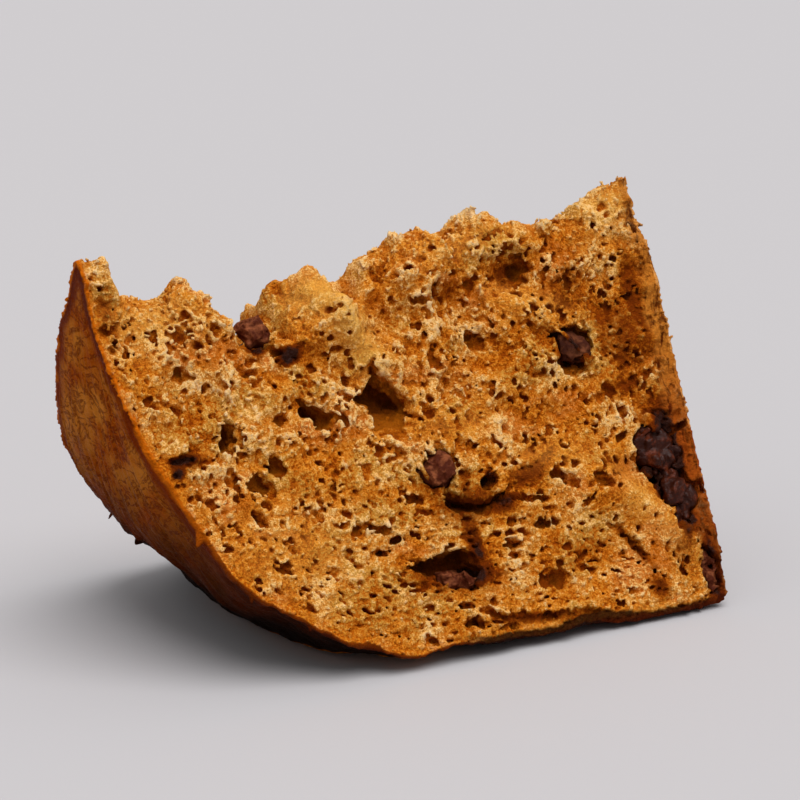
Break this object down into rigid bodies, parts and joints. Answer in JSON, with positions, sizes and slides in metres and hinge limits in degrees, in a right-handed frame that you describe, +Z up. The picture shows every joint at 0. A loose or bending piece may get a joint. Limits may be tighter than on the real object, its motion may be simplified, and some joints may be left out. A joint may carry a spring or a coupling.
{
  "type": "panettone wedge",
  "caption": "Wedge torn from a low, wide chocolate panettone, lying on its side wall, with open porous crumb, browned domed crust and chocolate chunks.",
  "frame": {"origin": "centre of the wedge's bounding box, at the height of the surface it lies on", "axes": "+X along the loaf's axis from its dome to its flat base, +Z up from the surface it lies on, the open face of the picture towards -Y"},
  "size_m": [0.1271, 0.0837, 0.0825],
  "materials": {
    "crumb_and_crust": "matte, porous golden-brown crumb with a browned crust",
    "chocolate": "dark, part melted, half gloss"
  },
  "bodies": {
    "root": {"panettone": "crumb_and_crust", "chocolate_front_1": "chocolate", "chocolate_front_2": "chocolate", "chocolate_front_3": "chocolate", "chocolate_front_4": "chocolate", "chocolate_front_5": "chocolate", "chocolate_front_6": "chocolate", "chocolate_front_7": "chocolate", "chocolate_back_1": "chocolate", "chocolate_back_2": "chocolate", "chocolate_back_3": "chocolate"}
  },
  "joints": []
}
